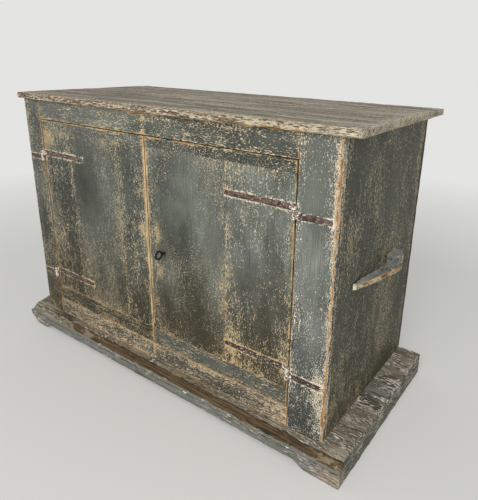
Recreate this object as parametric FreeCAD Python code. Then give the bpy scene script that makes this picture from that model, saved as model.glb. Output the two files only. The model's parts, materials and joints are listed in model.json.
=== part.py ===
import FreeCAD, Part
import math
import os

# Low painted buffet: a frame-fronted body with a pair of plank doors, on a wide base.
# Millimetres. +X is to the right of the front, the front faces -Y, +Z is up.
# The origin is on the floor under the middle of the base.

# Body
total_height = 880.0
body_width = 1200.0
body_depth = 555.0
frame_thickness = 26.0  # stiles and rails, front to back
stile_left_width = 90.0
stile_right_width = 107.0
top_rail_height = 62.0
bottom_rail_height = 58.0
corner_wear = 6.0  # rounding of the body's front corners
edge_wear = 1.5  # softened arrises of the front boards
tenon_length = 45.0
tenon_thickness = 9.0
tenon_shoulder = 8.0
tenon_clearance = 0.2
side_thickness = 24.0
back_thickness = 16.0
board_gap = 1.0  # shrinkage between neighbouring boards

# Inside
floor_thickness = 22.0
floor_rise = 12.0  # the floor stands above the bottom rail, where it stops the doors
stop_clearance = 0.5
shelf_thickness = 20.0
shelf_height = 520.0  # underside of the shelf above the ground
shelf_setback = 60.0
shelf_clearance = 0.5
cleat_height = 25.0
cleat_width = 22.0
batten_width = 45.0
batten_height = 25.0
batten_inset = 230.0

# Top
top_thickness = 20.0
top_front_overhang = 12.0
top_left_overhang = 14.0
top_right_overhang = 42.0
top_edge_wear = 6.0
top_front_share = 0.55  # front plank's share of the top's depth

# Base
base_height = 75.0
base_side_overhang = 75.0
base_front_overhang = 41.0
platform_thickness = 32.0
platform_shares = (0.40, 0.29, 0.31)  # front, middle and rear planks
platform_end_wear = 6.0
nosing_run = 20.0  # worn bevel along the front edge of the platform
nosing_drop = 19.0
apron_thickness = 34.0
foot_width = 95.0
foot_lift = 16.0  # height of the scoop between the feet
foot_shoulder = 36.0  # run of the curved shoulder from foot to scoop
runner_width = 40.0
bearer_width = 40.0

# Doors
door_thickness = 26.0
door_gap = 2.5
meeting_gap = 3.0
top_clamp_height = 30.0
bottom_clamp_height = 55.0
tongue_length = 14.0
tongue_thickness = 9.0
tongue_clearance = 0.2
left_door_shares = (0.305, 0.457, 0.238)  # planks from the hinge side to the meeting side
right_door_shares = (0.578, 0.422)  # planks from the meeting side to the hinge side
plank_gap = 0.8

# Strap hinges
hinge_upper_inset = 118.5  # from the door's top to where the two knuckles of a hinge meet
hinge_lower_inset = 107.5  # the same, from the door's bottom
strap_length = 210.0
strap_thickness = 3.2
knuckle_height = 18.0
knuckle_radius = 6.5
knuckle_standoff = 0.4
knuckle_gap = 0.3
strap_tip_width = 14.0
leaf_end_width = 15.0
leaf_corner_margin = 11.0
leaf_end_bulge = 2.5
pin_radius = 3.0
pin_clearance = 0.05
pin_projection = 2.0
pin_point = 1.2  # bevel round the top of the pin
strap_nails = 4
leaf_nails = 2
nail_margin = 24.0  # from the pin to the first nail, and from the last nail to the end

# Forged nails
nail_head = 9.0
nail_head_top = 3.0
nail_head_height = 2.2
nail_shank = 3.4
nail_tip = 1.4
nail_grip = 17.0  # length in the wood
nail_clearance = 0.15
nail_relief = 0.6

# Lock and key
key_height = 461.0
key_offset = 64.0  # from the meeting line
key_radius = 3.2
key_fit = 0.05
keyhole_clearance = 0.4
bit_reach = 15.5
bit_width = 3.2
bit_length = 12.0
bit_notch = 3.0
bit_bite = 4.5  # how far the bit enters the bolt
bit_room = 6.5  # below the bit, inside the case
bit_end_room = 3.0
keyhole_slot_clearance = 1.0
bow_radius = 12.0
bow_section = 2.4  # half the thickness of the bow's bar
bow_bevel = 1.2
bow_standoff = 8.0
collar_radius = 5.2
collar_length = 4.0
lock_wall = 2.0
lock_edge_inset = 1.0
plate_margin = 14.0
bolt_height = 16.0
bolt_thickness = 11.0
bolt_room = 9.0  # above the bolt, inside the case
bolt_tail = 40.0  # bolt behind the key
bolt_tail_room = 6.5
bolt_throw = 18.0
bolt_clearance = 0.2
talon_clearance = 1.5

# Turn button on the back of the left door
button_length = 84.0
button_width = 24.0
button_thickness = 14.0
button_below_top = 24.0
button_from_edge = 60.0
button_screw_radius = 3.0
button_screw_grip = 15.0
button_head_half = 6.0  # half the side of the screw's square head
button_head_height = 3.0
button_clearance = 0.5  # between the button and the back of the top rail
washer_half = 8.0  # half the side of the square washer

# Carved side handles
handle_length = 282.0
handle_from_front = 106.0
handle_below_shelf = 44.0
handle_reach = 51.0
handle_grip = 29.0  # thickness of the bow at its widest
handle_tip = 7.0
handle_front_pad = 56.0
handle_rear_pad = 62.0
handle_front_height = 18.0
handle_rear_height = 34.0
handle_crest = 182.0  # from the handle's front end to where it stands furthest out
handle_rise = (0.50, 0.67)  # shares of the crest's run and of the reach that the outer curve passes
handle_fall = (0.62, 0.82)  # the same, behind the crest
handle_end_reach = 20.7
handle_hollow_bend = (0.2, 0.65)  # shares of the finger gap that its rear end passes
handle_hollow_belly = 0.60
handle_swell_start = 186.0  # from the front end, where the neck swells into the rear block
handle_swell_end = 228.0
handle_swell_bend = 0.4
handle_waist = 0.85  # height of the neck's upper side as a share of the front end's
handle_belly = 1.25  # the same, of its underside
handle_nail_inset = 22.0
handle_nail_grip = 6.0

vec = FreeCAD.Vector
x_axis = vec(1, 0, 0)
y_axis = vec(0, 1, 0)
z_axis = vec(0, 0, 1)

# Levels and planes worked out from the sizes above
base_width = body_width + 2 * base_side_overhang
base_depth = body_depth + base_front_overhang
base_end = base_width / 2
base_front = -base_depth / 2
back = base_depth / 2
front = base_front + base_front_overhang
side = body_width / 2
top_underside = total_height - top_thickness
platform_underside = base_height - platform_thickness
frame_back = front + frame_thickness
door_back = front + door_thickness
inner_front = max(frame_back, door_back) + stop_clearance
back_inner = back - back_thickness
inner_side = side - side_thickness
opening_left = -side + stile_left_width
opening_right = side - stile_right_width
opening_bottom = base_height + bottom_rail_height
opening_top = top_underside - top_rail_height
meeting = (opening_left + opening_right) / 2
door_bottom = opening_bottom + door_gap
door_top = opening_top - door_gap
floor_top = opening_bottom + floor_rise
hinge_upper_height = door_top - hinge_upper_inset
hinge_lower_height = door_bottom + hinge_lower_inset
pin_line = front - knuckle_standoff - knuckle_radius
handle_height = shelf_height - handle_below_shelf


def block(x0, x1, y0, y1, z0, z1):
    return Part.makeBox(x1 - x0, y1 - y0, z1 - z0, vec(x0, y0, z0))


def line(a, b):
    return Part.LineSegment(a, b).toShape()


def arc(a, through, b):
    return Part.Arc(a, through, b).toShape()


def prism(edges, along):
    return Part.Face(Part.Wire(edges)).extrude(along)


def plate(points, along):
    return Part.Face(Part.makePolygon(points + points[:1])).extrude(along)


def round_edges(shape, radius, chosen):
    edges = [edge for edge in shape.Edges if chosen(edge)]
    return shape.makeFillet(radius, edges)


def lies_at(edge, axis, value):
    return all(abs(vertex.Point.dot(axis) - value) < 1e-6 for vertex in edge.Vertexes)


def shares_to_spans(start, end, shares, gap):
    # Spans of neighbouring boards between two edges, with a gap at each joint.
    spans = []
    edge = start
    total = sum(shares)
    for index, share in enumerate(shares):
        far = edge + (end - start) * share / total
        low = edge if index == 0 else edge + gap / 2
        high = far if index == len(shares) - 1 else far - gap / 2
        spans.append((low, high))
        edge = far
    return spans


def worn_front_edges(shape, face, radius):
    # Softens every edge that bounds the front face at the given plane.
    return round_edges(shape, radius, lambda edge: lies_at(edge, y_axis, face))


def forged_nail(grip):
    # Rose-head nail with its head's seat at the origin and its point along +Y.
    head = Part.makeWedge(
        -nail_head_top / 2, -nail_head_height, -nail_head_top / 2, -nail_head / 2, -nail_head / 2,
        nail_head_top / 2, 0, nail_head_top / 2, nail_head / 2, nail_head / 2)
    shank = Part.makeWedge(
        -nail_shank / 2, 0, -nail_shank / 2, -nail_tip / 2, -nail_tip / 2,
        nail_shank / 2, grip, nail_shank / 2, nail_tip / 2, nail_tip / 2)
    return head.fuse(shank).removeSplitter()


def nail_hole(grip):
    half = nail_shank / 2 + nail_clearance
    return block(-half, half, 0, grip + nail_relief, -half, half)


def placed(shape, position, turn):
    copy = shape.copy()
    copy.rotate(vec(0, 0, 0), z_axis, turn)
    copy.translate(position)
    return copy


def top_profile_prism(x0, x1, y0, y1, z0, z1, wear):
    # Board running left to right, with its upper end arrises worn round.
    bend = wear * (1 - math.sqrt(0.5))
    edges = [
        line(vec(x0, y0, z0), vec(x1, y0, z0)),
        line(vec(x1, y0, z0), vec(x1, y0, z1 - wear)),
        arc(vec(x1, y0, z1 - wear), vec(x1 - bend, y0, z1 - bend), vec(x1 - wear, y0, z1)),
        line(vec(x1 - wear, y0, z1), vec(x0 + wear, y0, z1)),
        arc(vec(x0 + wear, y0, z1), vec(x0 + bend, y0, z1 - bend), vec(x0, y0, z1 - wear)),
        line(vec(x0, y0, z1 - wear), vec(x0, y0, z0)),
    ]
    return prism(edges, vec(0, y1 - y0, 0))


def platform_planks():
    spans = shares_to_spans(base_front, back, platform_shares, board_gap)
    planks = []
    for low, high in spans:
        planks.append(top_profile_prism(-base_end, base_end, low, high,
                                        platform_underside, base_height, platform_end_wear))
    front_end = spans[0][1]
    nosing = plate([
        vec(-base_end, base_front, platform_underside),
        vec(-base_end, front_end, platform_underside),
        vec(-base_end, front_end, base_height),
        vec(-base_end, base_front + nosing_run, base_height),
        vec(-base_end, base_front, base_height - nosing_drop),
    ], vec(base_width, 0, 0))
    planks[0] = planks[0].common(nosing)
    return planks


def apron():
    # Front board of the base, scooped between its two feet.
    foot = base_end - foot_width
    scoop = foot - foot_shoulder
    half_run = foot_shoulder / 2
    half_rise = foot_lift / 2
    radius = (half_run ** 2 + half_rise ** 2) / (2 * half_rise)
    quarter_turn = math.asin(half_run / radius) / 2
    quarter_run = radius * math.sin(quarter_turn)
    quarter_rise = radius * (1 - math.cos(quarter_turn))

    def at(x, z):
        return vec(x, base_front, z)

    edges = [line(at(-base_end, 0), at(-foot, 0))]
    edges.append(arc(at(-foot, 0), at(-foot + quarter_run, quarter_rise), at(-foot + half_run, half_rise)))
    edges.append(arc(at(-foot + half_run, half_rise), at(-scoop - quarter_run, foot_lift - quarter_rise),
                     at(-scoop, foot_lift)))
    edges.append(line(at(-scoop, foot_lift), at(scoop, foot_lift)))
    edges.append(arc(at(scoop, foot_lift), at(scoop + quarter_run, foot_lift - quarter_rise),
                     at(foot - half_run, half_rise)))
    edges.append(arc(at(foot - half_run, half_rise), at(foot - quarter_run, quarter_rise), at(foot, 0)))
    edges.append(line(at(foot, 0), at(base_end, 0)))
    edges.append(line(at(base_end, 0), at(base_end, platform_underside)))
    edges.append(line(at(base_end, platform_underside), at(-base_end, platform_underside)))
    edges.append(line(at(-base_end, platform_underside), at(-base_end, 0)))
    return prism(edges, vec(0, apron_thickness, 0))


def base_pieces():
    apron_back = base_front + apron_thickness
    bearer_front = back - bearer_width
    runner_inner = base_end - runner_width
    plank_names = ("platform_front_plank", "platform_middle_plank", "platform_rear_plank")
    pieces = dict(zip(plank_names, platform_planks()))
    pieces["base_apron"] = apron()
    pieces["base_runner_left"] = block(-base_end, -runner_inner, apron_back, back, 0, platform_underside)
    pieces["base_runner_right"] = block(runner_inner, base_end, apron_back, back, 0, platform_underside)
    pieces["base_rear_bearer"] = block(-runner_inner, runner_inner, bearer_front, back,
                                       foot_lift, platform_underside)
    pieces["base_middle_bearer"] = block(-bearer_width / 2, bearer_width / 2, apron_back, bearer_front,
                                         foot_lift, platform_underside)
    return pieces


def tenon(x0, x1, z0, z1, spare):
    middle = front + frame_thickness / 2
    half = tenon_thickness / 2 + spare
    low = z0 + tenon_shoulder - spare
    high = z1 - tenon_shoulder + spare
    return block(x0, x1, middle - half, middle + half, low, high)


def front_rail(z0, z1):
    rail = worn_front_edges(block(opening_left, opening_right, front, frame_back, z0, z1), front, edge_wear)
    left = tenon(opening_left - tenon_length, opening_left, z0, z1, 0)
    right = tenon(opening_right, opening_right + tenon_length, z0, z1, 0)
    return rail.fuse([left, right]).removeSplitter()


def stile(outer, inner):
    post = block(min(outer, inner), max(outer, inner), front, frame_back, base_height, top_underside)
    post = round_edges(post, corner_wear,
                       lambda edge: lies_at(edge, x_axis, outer) and lies_at(edge, y_axis, front))
    post = round_edges(post, edge_wear,
                       lambda edge: lies_at(edge, x_axis, inner) and lies_at(edge, y_axis, front))
    away = math.copysign(tenon_length + tenon_clearance, outer - inner)
    low = min(inner, inner + away)
    high = max(inner, inner + away)
    mortises = [
        tenon(low, high, base_height, opening_bottom, tenon_clearance),
        tenon(low, high, opening_top, top_underside, tenon_clearance),
    ]
    return post.cut(mortises)


def front_frame():
    return {
        "stile_left": stile(-side, opening_left),
        "stile_right": stile(side, opening_right),
        "top_rail": front_rail(opening_top, top_underside),
        "bottom_rail": front_rail(base_height, opening_bottom),
    }


def body_boards():
    # Upright boards of equal width: two to a side, three across the back.
    side_places = ("front", "rear")
    back_places = ("left", "middle", "right")
    side_spans = shares_to_spans(frame_back, back_inner, [1] * len(side_places), board_gap)
    back_spans = shares_to_spans(-side, side, [1] * len(back_places), board_gap)

    def upright(x0, x1, y0, y1):
        return block(x0, x1, y0, y1, base_height, top_underside)

    pieces = {}
    for place, (low, high) in zip(side_places, side_spans):
        pieces["side_left_%s_board" % place] = upright(-side, -inner_side, low, high)
        pieces["side_right_%s_board" % place] = upright(inner_side, side, low, high)
    for place, (low, high) in zip(back_places, back_spans):
        pieces["back_board_%s" % place] = upright(low, high, back_inner, back)
    return pieces


def mirrored_pair(shape):
    # The piece on the right and its twin on the left.
    return Part.Compound([shape.mirror(vec(0, 0, 0), x_axis), shape])


def inside_boards():
    floor_underside = floor_top - floor_thickness
    shelf_front = inner_front + shelf_setback
    shelf_end = inner_side - shelf_clearance
    cleat_inner = inner_side - cleat_width
    batten_outer = inner_side - batten_inset
    pieces = {}
    pieces["floor_board"] = block(-inner_side, inner_side, inner_front, back_inner,
                                  floor_underside, floor_top)
    pieces["shelf"] = block(-shelf_end, shelf_end, shelf_front, back_inner,
                            shelf_height, shelf_height + shelf_thickness)
    pieces["floor_cleats"] = mirrored_pair(
        block(cleat_inner, inner_side, inner_front, back_inner,
              floor_underside - cleat_height, floor_underside))
    pieces["shelf_cleats"] = mirrored_pair(
        block(cleat_inner, inner_side, shelf_front, back_inner, shelf_height - cleat_height, shelf_height))
    pieces["top_battens"] = mirrored_pair(
        block(batten_outer - batten_width, batten_outer, frame_back, back_inner,
              top_underside - batten_height, top_underside))
    return pieces


def top_planks():
    left = -side - top_left_overhang
    right = side + top_right_overhang
    top_front = front - top_front_overhang
    spans = shares_to_spans(top_front, back, (top_front_share, 1 - top_front_share), board_gap)
    planks = [top_profile_prism(left, right, low, high, top_underside, total_height, top_edge_wear)
              for low, high in spans]

    def front_arris(edge):
        return lies_at(edge, y_axis, top_front) and lies_at(edge, z_axis, total_height)

    planks[0] = round_edges(planks[0], top_edge_wear, front_arris)
    return {"top_front_plank": planks[0], "top_rear_plank": planks[1]}


def tongue_band(x0, x1, z0, z1, spare):
    middle = front + door_thickness / 2
    half = tongue_thickness / 2 + spare
    return block(x0, x1, middle - half, middle + half, z0, z1)


def door_planks(x0, x1, shares):
    low = door_bottom + bottom_clamp_height
    high = door_top - top_clamp_height
    planks = []
    for left, right in shares_to_spans(x0, x1, shares, plank_gap):
        plank = worn_front_edges(block(left, right, front, door_back, low, high), front, edge_wear)
        tongues = [
            tongue_band(left, right, low - tongue_length, low, 0),
            tongue_band(left, right, high, high + tongue_length, 0),
        ]
        planks.append(plank.fuse(tongues).removeSplitter())
    return planks


def door_clamp(x0, x1, z0, z1, groove_low, groove_high):
    bar = worn_front_edges(block(x0, x1, front, door_back, z0, z1), front, edge_wear)
    return bar.cut(tongue_band(x0, x1, groove_low, groove_high, tongue_clearance))


def door(name, x0, x1, shares, places):
    planks_low = door_bottom + bottom_clamp_height
    planks_high = door_top - top_clamp_height
    pieces = {}
    for place, plank in zip(places, door_planks(x0, x1, shares)):
        pieces["%s_door_%s_plank" % (name, place)] = plank
    pieces["%s_door_top_clamp" % name] = door_clamp(
        x0, x1, planks_high, door_top, planks_high, planks_high + tongue_length + tongue_clearance)
    pieces["%s_door_bottom_clamp" % name] = door_clamp(
        x0, x1, door_bottom, planks_low, planks_low - tongue_length - tongue_clearance, planks_low)
    return pieces


def knuckle(pin_x, z0):
    return Part.makeCylinder(knuckle_radius, knuckle_height, vec(pin_x, pin_line, z0), z_axis)


def bored(shape, pin_x, z0):
    bore = Part.makeCylinder(pin_radius + pin_clearance, knuckle_height, vec(pin_x, pin_line, z0), z_axis)
    return shape.cut(bore).removeSplitter()


def strap_outline(pin_x, way, z0, length, end_width, bulge):
    # Tapered bar from the pin outwards, with a rounded end.
    middle = z0 + knuckle_height / 2

    def at(run, rise):
        return vec(pin_x + way * run, front, middle + rise)

    root = knuckle_height / 2
    half = end_width / 2
    edges = [
        line(at(0, -root), at(length - bulge, -half)),
        arc(at(length - bulge, -half), at(length, 0), at(length - bulge, half)),
        line(at(length - bulge, half), at(0, root)),
        line(at(0, root), at(0, -root)),
    ]
    return prism(edges, vec(0, -strap_thickness, 0))


def nail_runs(length, count):
    step = (length - 2 * nail_margin) / (count - 1)
    return [nail_margin + step * index for index in range(count)]


def hinge(hand, level):
    # One lift-off strap hinge. The door's strap turns on the pin that the frame's leaf holds.
    pin_x = opening_right - door_gap / 2 if hand > 0 else opening_left + door_gap / 2
    leaf_length = abs(hand * side - pin_x) - leaf_corner_margin
    leaf_low = level - knuckle_gap - knuckle_height
    nail_seat = front - strap_thickness
    grip = strap_thickness + nail_grip

    def nail_points(way, length, count, z0):
        middle = z0 + knuckle_height / 2
        return [vec(pin_x + way * run, nail_seat, middle) for run in nail_runs(length, count)]

    strap_points = nail_points(-hand, strap_length, strap_nails, level)
    leaf_points = nail_points(hand, leaf_length, leaf_nails, leaf_low)
    strap_holes = [placed(nail_hole(grip), point, 0) for point in strap_points]
    leaf_holes = [placed(nail_hole(grip), point, 0) for point in leaf_points]
    strap = strap_outline(pin_x, -hand, level, strap_length, strap_tip_width, strap_tip_width / 2)
    strap = bored(strap.fuse(knuckle(pin_x, level)), pin_x, level).cut(strap_holes)
    leaf = strap_outline(pin_x, hand, leaf_low, leaf_length, leaf_end_width, leaf_end_bulge)
    leaf = bored(leaf.fuse(knuckle(pin_x, leaf_low)), pin_x, leaf_low).cut(leaf_holes)
    pin_length = 2 * knuckle_height + knuckle_gap + pin_projection
    pin = Part.makeCylinder(pin_radius, pin_length, vec(pin_x, pin_line, leaf_low), z_axis)
    pin_rim = [edge for edge in pin.Edges if lies_at(edge, z_axis, leaf_low + pin_length)]
    pin = pin.makeChamfer(pin_point, pin_rim)
    return {
        "strap": strap,
        "leaf": leaf,
        "pin": pin,
        "strap_nails": [placed(forged_nail(grip), point, 0) for point in strap_points],
        "leaf_nails": [placed(forged_nail(grip), point, 0) for point in leaf_points],
        "strap_holes": strap_holes,
        "leaf_holes": leaf_holes,
    }


def key_point(y):
    return vec(meeting + key_offset, y, key_height)


def keyhole(y0, y1, spare):
    # Round hole with a slot below it that lets the bit through.
    x = meeting + key_offset
    round_part = Part.makeCylinder(key_radius + spare, y1 - y0, key_point(y0), y_axis)
    half = bit_width / 2 + keyhole_slot_clearance
    slot = block(x - half, x + half, y0, y1, key_height - bit_reach - keyhole_slot_clearance, key_height)
    return round_part.fuse(slot).removeSplitter()


def talon_span():
    # Notch in the bolt that the bit sweeps through while the bolt travels, measured from the key
    # towards the bolt's nose and towards its tail. The bolt makes its throw in one whole turn.
    tip = math.hypot(bit_reach, bit_width / 2)
    enter = math.acos((bit_reach - bit_bite) / tip)
    swing = bit_reach * math.sin(enter) + bit_width / 2 + talon_clearance
    whole_turn = 2 * math.pi
    nose = swing - bolt_throw * (math.pi + enter) / whole_turn
    tail = swing + bolt_throw * (math.pi - enter) / whole_turn
    return nose, tail


def lock_pieces(door_edge):
    x = meeting + key_offset
    plate_back = door_back + lock_wall
    hollow_back = plate_back + bit_length + 2 * bit_end_room
    case_back = hollow_back + lock_wall
    left = door_edge + lock_edge_inset
    right = x + bolt_tail + bolt_tail_room + lock_wall
    bolt_low = key_height + bit_reach - bit_bite
    bolt_high = bolt_low + bolt_height
    low = key_height - bit_reach - bit_room - lock_wall
    high = bolt_high + bolt_room + lock_wall
    bolt_front = (plate_back + hollow_back - bolt_thickness) / 2
    bolt_back = bolt_front + bolt_thickness

    nail_points = [vec(nail_x, plate_back, nail_z)
                   for nail_x in (left + plate_margin / 2, right - plate_margin / 2)
                   for nail_z in (low - plate_margin / 2, high + plate_margin / 2)]
    nail_length = lock_wall + nail_grip
    holes = [placed(nail_hole(nail_length), point, 180) for point in nail_points]
    back_plate = block(left, right, door_back, plate_back, low - plate_margin, high + plate_margin)
    back_plate = back_plate.cut([keyhole(door_back, plate_back, key_fit)] + holes)

    case = block(left, right, plate_back, case_back, low, high)
    hollow = block(left + lock_wall, right - lock_wall, plate_back, hollow_back,
                   low + lock_wall, high - lock_wall)
    mouth = block(left, left + lock_wall, bolt_front - bolt_clearance, bolt_back + bolt_clearance,
                  bolt_low - bolt_clearance, bolt_high + bolt_clearance)
    case = case.cut([hollow, mouth])

    nose, tail = talon_span()
    bolt = block(left, x + bolt_tail, bolt_front, bolt_back, bolt_low, bolt_high)
    talon = block(x - nose, x + tail, bolt_front, bolt_back, bolt_low, bolt_low + bit_bite + talon_clearance)
    bolt = bolt.cut(talon)
    return {
        "lock_plate": back_plate,
        "lock_case": case,
        "lock_bolt": bolt,
        "lock_nails": Part.Compound([placed(forged_nail(nail_length), point, 180) for point in nail_points]),
    }, holes


def forged_ring(radius, half, bevel):
    # Ring about Z, of a square bar with its outer corners bevelled.
    flat = half - bevel
    corners = [(-half, -half), (flat, -half), (half, -flat), (half, flat), (flat, half), (-half, half)]
    points = [vec(radius + out, 0, up) for out, up in corners]
    section = Part.Face(Part.makePolygon(points + points[:1]))
    return section.revolve(vec(0, 0, 0), z_axis, 360)


def door_key():
    plate_back = door_back + lock_wall
    bit_front = plate_back + bit_end_room
    bit_back = bit_front + bit_length
    bit_middle = (bit_front + bit_back) / 2
    x = meeting + key_offset
    bow_middle = front - bow_standoff - collar_length - bow_radius
    stem_start = bow_middle + bow_radius
    stem = Part.makeCylinder(key_radius, bit_back - stem_start, key_point(stem_start), y_axis)
    collar = Part.makeCylinder(collar_radius, collar_length, key_point(stem_start + bow_section), y_axis)
    bow = forged_ring(bow_radius, bow_section, bow_bevel)
    bow.rotate(vec(0, 0, 0), y_axis, 90)
    bow.translate(key_point(bow_middle))
    bit = block(x - bit_width / 2, x + bit_width / 2, bit_front, bit_back, key_height - bit_reach, key_height)
    ward = block(x - bit_width / 2, x + bit_width / 2, bit_middle - bit_notch / 2, bit_middle + bit_notch / 2,
                 key_height - bit_reach, key_height - bit_reach / 2)
    return stem.fuse([collar, bow, bit]).cut(ward).removeSplitter()


def turn_button(door_edge):
    x = door_edge - button_from_edge
    z = door_top - button_below_top
    button_front = inner_front + button_clearance
    button_back = button_front + button_thickness
    half_length = button_length / 2
    half_width = button_width / 2
    bore_radius = button_screw_radius + pin_clearance

    def at(run, rise):
        return vec(x + run, button_front, z + rise)

    flat = half_length - half_width
    edges = [
        line(at(-flat, -half_width), at(flat, -half_width)),
        arc(at(flat, -half_width), at(half_length, 0), at(flat, half_width)),
        line(at(flat, half_width), at(-flat, half_width)),
        arc(at(-flat, half_width), at(-half_length, 0), at(-flat, -half_width)),
    ]
    screw_start = door_back - button_screw_grip
    head_seat = button_back + pin_clearance

    def turned(radius, y0, y1):
        return Part.makeCylinder(radius, y1 - y0, vec(x, y0, z), y_axis)

    def squared(half, y0, y1):
        return block(x - half, x + half, y0, y1, z - half, z + half)

    hole = turned(bore_radius, screw_start, button_back)
    button = prism(edges, vec(0, button_thickness, 0)).cut(hole)
    washer = squared(washer_half, door_back, button_front).cut(hole)
    head = squared(button_head_half, head_seat, head_seat + button_head_height)
    screw = turned(button_screw_radius, screw_start, head_seat).fuse(head).removeSplitter()
    return {"turn_button": button, "button_washer": washer, "button_screw": screw}, hole


def handle(hand):
    # Carved from one piece: the plan curve and the side curve are both cut through the block.
    start = front + handle_from_front
    rear_swell = handle_rear_height / 2
    front_half = handle_front_height / 2
    gap = handle_reach - handle_grip

    def plan(run, reach):
        return vec(hand * (side + reach), start + run, handle_height - handle_rear_height)

    def view(run, rise):
        return vec(hand * side, start + run, handle_height + rise)

    length = handle_length
    hollow_rear = length - handle_rear_pad
    hollow_crest = hollow_rear - gap
    hollow_middle = (hollow_crest + handle_front_pad) / 2
    rise_run, rise_reach = handle_rise
    fall_run, fall_reach = handle_fall
    bend_run, bend_reach = handle_hollow_bend
    fall_at = handle_crest + fall_run * (length - handle_crest)
    swell_middle = (handle_swell_start + handle_swell_end) / 2
    swell_height = front_half + handle_swell_bend * (rear_swell - front_half)
    plan_edges = [
        line(plan(0, 0), plan(0, handle_tip)),
        arc(plan(0, handle_tip), plan(rise_run * handle_crest, rise_reach * handle_reach),
            plan(handle_crest, handle_reach)),
        arc(plan(handle_crest, handle_reach), plan(fall_at, fall_reach * handle_reach),
            plan(length, handle_end_reach)),
        line(plan(length, handle_end_reach), plan(length, 0)),
        line(plan(length, 0), plan(hollow_rear, 0)),
        arc(plan(hollow_rear, 0), plan(hollow_rear - bend_run * gap, bend_reach * gap),
            plan(hollow_crest, gap)),
        arc(plan(hollow_crest, gap), plan(hollow_middle, handle_hollow_belly * gap),
            plan(handle_front_pad, 0)),
        line(plan(handle_front_pad, 0), plan(0, 0)),
    ]
    side_edges = [
        line(view(0, -front_half), view(0, front_half)),
        arc(view(0, front_half), view(handle_swell_start / 2, handle_waist * front_half),
            view(handle_swell_start, front_half)),
        arc(view(handle_swell_start, front_half), view(swell_middle, swell_height),
            view(handle_swell_end, rear_swell)),
        line(view(handle_swell_end, rear_swell), view(length, rear_swell)),
        line(view(length, rear_swell), view(length, -rear_swell)),
        arc(view(length, -rear_swell), view(length / 2, -handle_belly * front_half),
            view(0, -front_half)),
    ]
    top_down = prism(plan_edges, vec(0, 0, 2 * handle_rear_height))
    from_side = prism(side_edges, vec(hand * (handle_reach + handle_tip), 0, 0))
    grip = top_down.common(from_side)

    nail_length = side_thickness + handle_nail_grip
    turn = -90 if hand > 0 else 90
    points = [vec(hand * inner_side, start + run, handle_height)
              for run in (handle_nail_inset, length - handle_nail_inset)]
    holes = [placed(nail_hole(nail_length), point, turn) for point in points]
    nails = [placed(forged_nail(nail_length), point, turn) for point in points]
    return grip.cut(holes), nails, holes


def cut_all(pieces, names, tools):
    for name in names:
        pieces[name] = pieces[name].cut(tools)


def build():
    pieces = {}
    pieces.update(base_pieces())
    pieces.update(front_frame())
    pieces.update(body_boards())
    pieces.update(inside_boards())
    pieces.update(top_planks())

    left_edge = meeting - meeting_gap / 2
    right_edge = meeting + meeting_gap / 2
    left_places = ("outer", "middle", "inner")
    right_places = ("inner", "outer")
    pieces.update(door("left", opening_left + door_gap, left_edge, left_door_shares, left_places))
    pieces.update(door("right", right_edge, opening_right - door_gap, right_door_shares, right_places))
    left_boards = [name for name in pieces if name.startswith("left_door")]
    right_boards = [name for name in pieces if name.startswith("right_door")]

    pins = []
    frame_nails = []
    for name, hand, boards in (("left", -1, left_boards), ("right", 1, right_boards)):
        strap_nail_group = []
        for place, level in (("upper", hinge_upper_height), ("lower", hinge_lower_height)):
            made = hinge(hand, level)
            pieces["%s_%s_hinge_strap" % (name, place)] = made["strap"]
            pieces["%s_%s_hinge_leaf" % (name, place)] = made["leaf"]
            pins.append(made["pin"])
            strap_nail_group += made["strap_nails"]
            frame_nails += made["leaf_nails"]
            cut_all(pieces, boards, made["strap_holes"])
            cut_all(pieces, ["stile_%s" % name], made["leaf_holes"])
        pieces["%s_door_strap_nails" % name] = Part.Compound(strap_nail_group)
    pieces["hinge_pins"] = Part.Compound(pins)
    pieces["frame_leaf_nails"] = Part.Compound(frame_nails)

    lock, lock_holes = lock_pieces(right_edge)
    pieces.update(lock)
    pieces["key"] = door_key()
    cut_all(pieces, right_boards, lock_holes + [keyhole(front, door_back, keyhole_clearance)])

    button, button_hole = turn_button(left_edge)
    pieces.update(button)
    cut_all(pieces, left_boards, [button_hole])

    handle_nails = []
    for name, hand in (("left", -1), ("right", 1)):
        grip, nails, holes = handle(hand)
        pieces["handle_%s" % name] = grip
        handle_nails += nails
        cut_all(pieces, ["side_%s_front_board" % name, "side_%s_rear_board" % name], holes)
    pieces["handle_nails"] = Part.Compound(handle_nails)
    return pieces


os.makedirs("parts", exist_ok=True)
for node, shape in build().items():
    shape.exportStep("parts/%s.step" % node)
    print("%-28s solids %d  valid %s  volume %.0f" % (node, len(shape.Solids), shape.isValid(), shape.Volume))
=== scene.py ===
# Old painted buffet: worn boards, flaking paint, rusty ironwork
import json
import math
import bmesh
import bpy
from functools import partial
from mathutils import Matrix, Vector


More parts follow.
